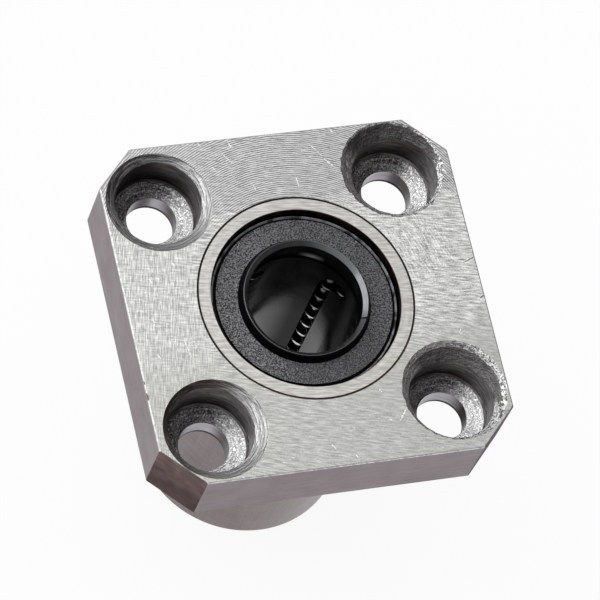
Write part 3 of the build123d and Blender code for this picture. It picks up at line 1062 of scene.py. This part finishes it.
def make_sleeve():
    """The hardened outer ring, with a seat for a seal at each end and four lands for the balls."""
    front_seat = FRONT_Z - SEAT_DEPTH
    rear_seat = REAR_Z + SEAT_DEPTH
    outline = [
        (SEAT_R, FRONT_Z),
        (SLEEVE_R - SLEEVE_FRONT_EDGE, FRONT_Z),
        (SLEEVE_R, FRONT_Z - SLEEVE_FRONT_EDGE),
        (SLEEVE_R, REAR_Z + SLEEVE_REAR_EDGE),
        (SLEEVE_R - SLEEVE_REAR_EDGE, REAR_Z),
        (SEAT_R, REAR_Z),
        (SEAT_R, rear_seat),
        (POCKET_R, rear_seat),
        (POCKET_R, front_seat),
        (SEAT_R, front_seat),
    ]
    bm = turn(outline)

    def at_inner_rim(edge):
        first, last = edge.verts
        middle = (first.co + last.co) / 2
        at_end = middle.z > (FRONT_Z - 0.01) * MM or middle.z < (REAR_Z + 0.6) * MM
        level = abs(first.co.z - last.co.z) < 1e-6
        return level and at_end and SEAT_R - 0.01 < radius_of(middle) <= SLEEVE_R - 0.1

    soften(bm, at_inner_rim, SLEEVE_INNER_EDGE)

    def pick(face):
        middle = face.calc_center_median()
        if radius_of(middle) < SEAT_R + 0.02:
            return SEAT
        if face.normal.z > 0.98:
            return RING
        if middle.z > (FRONT_Z - 0.1) * MM and radius_of(middle) > SLEEVE_R - 0.1:
            return SLEEVE_JOINT
        return SLEEVE_REAR if middle.z < (REAR_Z + 0.02) * MM else BARREL

    paint_faces(bm, pick)
    sleeve = to_object("sleeve_body", bm, SLEEVE_FINISHES)
    carve(sleeve, [land(angle) for angle in CIRCUIT_ANGLES], "UNION")
    finish_piece(sleeve, "housing", "sleeve")


def ring_sector(inner_r, outer_r, angle, width, length):
    """Part of a ring about the axis, centred on the bearing's middle plane."""
    low, high = MIDDLE_Z - length / 2, MIDDLE_Z + length / 2
    bm = bmesh.new()
    corners = [(inner_r, low), (outer_r, low), (outer_r, high), (inner_r, high)]
    section = bm.faces.new([bm.verts.new((r * MM, 0, z * MM)) for r, z in corners])
    start = Matrix.Rotation(radians(angle - width / 2), 3, "Z")
    bmesh.ops.rotate(bm, cent=(0, 0, 0), matrix=start, verts=bm.verts)
    bmesh.ops.spin(
        bm,
        geom=[section],
        cent=(0, 0, 0),
        axis=(0, 0, 1),
        dvec=(0, 0, 0),
        angle=radians(width),
        steps=12,
    )
    clean(bm)
    return bm


def land(angle):
    """One loaded track's raised land, which the balls roll on."""
    bm = ring_sector(RACE_R, (POCKET_R + SLEEVE_R) / 2, angle, LAND_ANGLE, STRAIGHT)
    paint_faces(bm, lambda face: SEAT)
    return to_object("land", bm, SLEEVE_FINISHES)


# Seals


GRAIN, CREST, SHADE, BEAD = range(4)
SEAL_FINISHES = [seal_grain_finish(), seal_crest_finish(), seal_shade_finish(), seal_bead_finish()]


def make_seal(name, node, at_rear):
    """A pressed-in disc with a bead round its edge and a raised collar, whose lip wipes the shaft."""
    seat_z = FRONT_Z - SEAT_DEPTH
    outline = [
        (GRAIN_R, SEAL_FACE_Z),
        (GRAIN_R + 0.05, SEAL_FACE_Z - 0.05),
        (GRAIN_R + 0.08, SEAL_FACE_Z - 0.16),
        (BEAD_R - 0.08, SEAL_FACE_Z - 0.2),
        (BEAD_R - 0.04, SEAL_FACE_Z - 0.08),
        (BEAD_R, SEAL_FACE_Z - 0.04),
        (BEAD_R + 0.04, SEAL_FACE_Z - 0.06),
        (BEAD_R + 0.06, SEAL_FACE_Z - 0.16),
        (SEAL_R, SEAL_FACE_Z - 0.4),
        (SEAL_R, seat_z),
        (LIP_BACK_R, seat_z),
        (LIP_BACK_R, LIP_Z),
        (SHAFT_R, LIP_Z),
        (SHAFT_R, LIP_END_Z),
        (CREST_R - 0.04, FRONT_Z - 0.03),
        (CREST_R, FRONT_Z),
        (CREST_R + 0.04, FRONT_Z - 0.03),
        (COLLAR_FOOT_R - 0.07, SEAL_FACE_Z + 0.06),
        (COLLAR_FOOT_R, SEAL_FACE_Z),
    ]
    bm = turn(outline)

    def at_crest(edge):
        return LIP_BACK_R < radius_of(edge.verts[0].co) < CREST_R + 0.09

    soften(bm, at_crest, CREST_EDGE, segments=1)
    if at_rear:
        bmesh.ops.mirror(bm, geom=bm.verts[:] + bm.edges[:] + bm.faces[:], axis="Z", merge_dist=-1)
        front_half = [vert for vert in bm.verts if vert.co.z > 0]
        bmesh.ops.delete(bm, geom=front_half, context="VERTS")
        bmesh.ops.translate(bm, vec=(0, 0, 2 * MIDDLE_Z * MM), verts=bm.verts)
        clean(bm)

    def pick(face):
        middle = face.calc_center_median()
        away = radius_of(middle)
        from_end = min(FRONT_Z - middle.z / MM, middle.z / MM - REAR_Z)
        if COLLAR_FOOT_R - 0.03 < away < GRAIN_R + 0.02 and abs(face.normal.z) > 0.9:
            return GRAIN
        if BEAD_R - 0.07 < away < BEAD_R + 0.05:
            return BEAD
        return CREST if from_end < 0.3 else SHADE

    paint_faces(bm, pick)
    finish_piece(to_object(name, bm, SEAL_FINISHES), "housing", node)


# Cage


def polar(radius, angle):
    return Vector((radius * cos(radians(angle)), radius * sin(radians(angle)), 0))


def track_axes(angle):
    """The circuit's middle, the way from its loaded lane to its return lane, and the way out."""
    loaded = polar(LOADED_LANE_R, angle)
    back = polar(RETURN_LANE_R, angle - LANE_SPREAD)
    across = (back - loaded).normalized()
    outwards = Vector((0, 0, 1)).cross(across)
    return (loaded + back) / 2, across, outwards


def half_turn(bm, outline, centre, axis):
    """Swings an outline half round a centre, and gives the outline that it ends on."""
    swung = bmesh.ops.spin(bm, geom=outline, cent=centre, axis=axis, dvec=(0, 0, 0), angle=pi, steps=24)
    return swung["geom_last"]


def drop(bm, outline, length):
    """Draws an outline out along Z, and gives the outline that it ends on."""
    edges = [item for item in outline if isinstance(item, bmesh.types.BMEdge)]
    drawn = bmesh.ops.extrude_edge_only(bm, edges=edges)["geom"]
    ends = [item for item in drawn if isinstance(item, bmesh.types.BMVert)]
    bmesh.ops.translate(bm, vec=(0, 0, length * MM), verts=ends)
    return [item for item in drawn if isinstance(item, bmesh.types.BMEdge) and set(item.verts) <= set(ends)]


def track_cutter(angle):
    """A racetrack groove with a round floor, open outwards, where its balls drop in."""
    middle, across, outwards = track_axes(angle)
    front = middle + along_z(MIDDLE_Z + STRAIGHT / 2)
    rear = middle + along_z(MIDDLE_Z - STRAIGHT / 2)
    start = front - across * TURN_R
    bm = bmesh.new()
    floor_line = [(TRACK_R * cos(radians(a)), TRACK_R * sin(radians(a))) for a in range(-180, 1, 15)]
    section = floor_line + [(TRACK_R, TRACK_DEPTH), (-TRACK_R, TRACK_DEPTH)]
    corners = [bm.verts.new((start + across * u + outwards * v) * MM) for u, v in section]
    outline = [bm.edges.new(pair) for pair in zip(corners, corners[1:] + corners[:1])]
    outline = half_turn(bm, outline, front * MM, outwards)
    outline = drop(bm, outline, -STRAIGHT)
    outline = half_turn(bm, outline, rear * MM, outwards)
    drop(bm, outline, STRAIGHT)
    clean(bm)
    return to_object("track_cutter", bm)


def make_cage(finish):
    """The retainer: a tube with a groove for each circuit and a slot for each of the sleeve's lands."""
    high, low = MIDDLE_Z + CAGE_LENGTH / 2, MIDDLE_Z - CAGE_LENGTH / 2
    bm = turn([(CAGE_BORE_R, low), (CAGE_R, low), (CAGE_R, high), (CAGE_BORE_R, high)])
    cage = to_object("cage_body", bm, [finish])
    slot_angle = LAND_ANGLE + SLOT_PLAY_ANGLE
    cutters = []
    for angle in CIRCUIT_ANGLES:
        slot = ring_sector(RACE_R - SLOT_PLAY, SLEEVE_R, angle, slot_angle, STRAIGHT + 2 * SLOT_PLAY)
        cutters += [to_object("land_slot_cutter", slot), track_cutter(angle)]
    carve(cage, cutters)
    finish_piece(cage, "housing", "cage")


# Balls


def make_balls(node, centres, finish):
    bm = bmesh.new()
    for centre in centres:
        place = Matrix.Translation(centre * MM)
        bmesh.ops.create_icosphere(bm, subdivisions=3, radius=BALL_R * MM, matrix=place)
    row = to_object(node.replace("_balls", "_row_balls"), bm, [finish])
    finish_piece(row, node, node, sharp_angle=180.0)


def lane_centres(lane_centre):
    first = MIDDLE_Z - (LANE_BALLS - 1) / 2 * BALL_PITCH
    return [lane_centre + along_z(first + i * BALL_PITCH) for i in range(LANE_BALLS)]


def turn_centres(angle, end):
    """Ball centres in one half turn. end is 1 at the front, -1 at the rear."""
    middle, across, _ = track_axes(angle)
    centre = middle + along_z(MIDDLE_Z + end * STRAIGHT / 2)
    pitch = 2 * asin(BALL_PITCH / (2 * TURN_R))
    places = []
    for i in range(TURN_BALLS):
        from_peak = (i - (TURN_BALLS - 1) / 2) * pitch
        sideways = across * (TURN_R * sin(from_peak))
        places.append(centre + sideways + along_z(end * TURN_R * cos(from_peak)))
    return places


# Stage


def make_table():
    """A white table under the bearing. The camera and mirrors see it glow almost white."""
    bm = bmesh.new()
    bmesh.ops.create_grid(bm, x_segments=1, y_segments=1, size=1.5)
    bmesh.ops.translate(bm, vec=(0, 0, REAR_Z * MM), verts=bm.verts)
    material = bpy.data.materials.new("white table")
    material.use_nodes = True
    tree = material.node_tree
    shader = tree.nodes["Principled BSDF"]
    shader.inputs["Base Color"].default_value = (0.94, 0.94, 0.95, 1)
    shader.inputs["Roughness"].default_value = 0.9
    path = tree.nodes.new("ShaderNodeLightPath").outputs
    seen = times(tree, path["Is Camera Ray"], 0.92)
    mirrored = times(tree, calc(tree, "MAXIMUM", path["Is Glossy Ray"], path["Is Transmission Ray"]), 0.9)
    share = calc(tree, "MAXIMUM", seen, mirrored)
    glow = wire(tree, "ShaderNodeEmission", {"Color": grey(1.0), "Strength": 1.0}).outputs[0]
    mixed = wire(tree, "ShaderNodeMixShader", {0: share, 1: shader.outputs[0], 2: glow}).outputs[0]
    tree.links.new(mixed, tree.nodes["Material Output"].inputs["Surface"])
    to_object("table_top", bm, [material])


def softbox(name, direction, distance, size, brightness):
    """A flat lamp, aimed at the bearing. brightness is what a mirror shows of it, where 1 is white."""
    lamp = bpy.data.lights.new(name, "AREA")
    lamp.shape = "RECTANGLE"
    lamp.size, lamp.size_y = size
    lamp.energy = brightness * pi * size[0] * size[1]
    made = bpy.data.objects.new(name, lamp)
    made.location = Vector(direction).normalized() * distance
    made.rotation_euler = (-made.location).to_track_quat("-Z", "Y").to_euler()
    bpy.context.scene.collection.objects.link(made)


def light_the_stage():
    """A wide window at the left, a softbox overhead and a room that darkens to the front and right."""
    softbox("window_left", (-0.82, 0.4, 0.42), 0.5, (0.44, 0.38), 1.5)
    softbox("overhead", (-0.08, 0.4, 0.9), 0.6, (0.5, 0.48), 1.2)
    world = bpy.data.worlds.new("studio")
    world.use_nodes = True
    bpy.context.scene.world = world
    tree = world.node_tree
    way = tree.nodes.new("ShaderNodeTexCoord").outputs["Generated"]
    facing = on_places(tree, "DOT_PRODUCT", way, Vector((-0.5, 0.3, 0.8)).normalized())
    lit = spread(tree, facing, -0.1, 1.0)
    room = blend(tree, lit, (0.17, 0.165, 0.17, 1), (0.85, 0.86, 0.87, 1))
    tree.links.new(room, tree.nodes["Background"].inputs["Color"])
    tree.nodes["Background"].inputs["Strength"].default_value = 1.0


def place_camera():
    data = bpy.data.cameras.new("camera")
    data.sensor_width = CAMERA_SENSOR
    data.lens = CAMERA_LENS
    data.clip_start = 0.01
    camera = bpy.data.objects.new("camera", data)
    camera.location = CAMERA_PLACE
    camera.rotation_euler = [radians(angle) for angle in CAMERA_TURN]
    bpy.context.scene.collection.objects.link(camera)
    bpy.context.scene.camera = camera


place_camera()
make_table()
light_the_stage()
make_flange()
make_sleeve()
make_seal("front_seal_ring", "front_seal", at_rear=False)
make_seal("rear_seal_ring", "rear_seal", at_rear=True)
make_cage(cage_finish())
ball_steel = ball_finish()
for number, angle in enumerate(CIRCUIT_ANGLES, start=1):
    make_balls(f"loaded_balls_{number}", lane_centres(polar(LOADED_LANE_R, angle)), ball_steel)
    make_balls(f"return_balls_{number}", lane_centres(polar(RETURN_LANE_R, angle - LANE_SPREAD)), ball_steel)
    make_balls(f"front_turn_balls_{number}", turn_centres(angle, 1), ball_steel)
    make_balls(f"rear_turn_balls_{number}", turn_centres(angle, -1), ball_steel)

bpy.context.scene.view_settings.view_transform = "Standard"
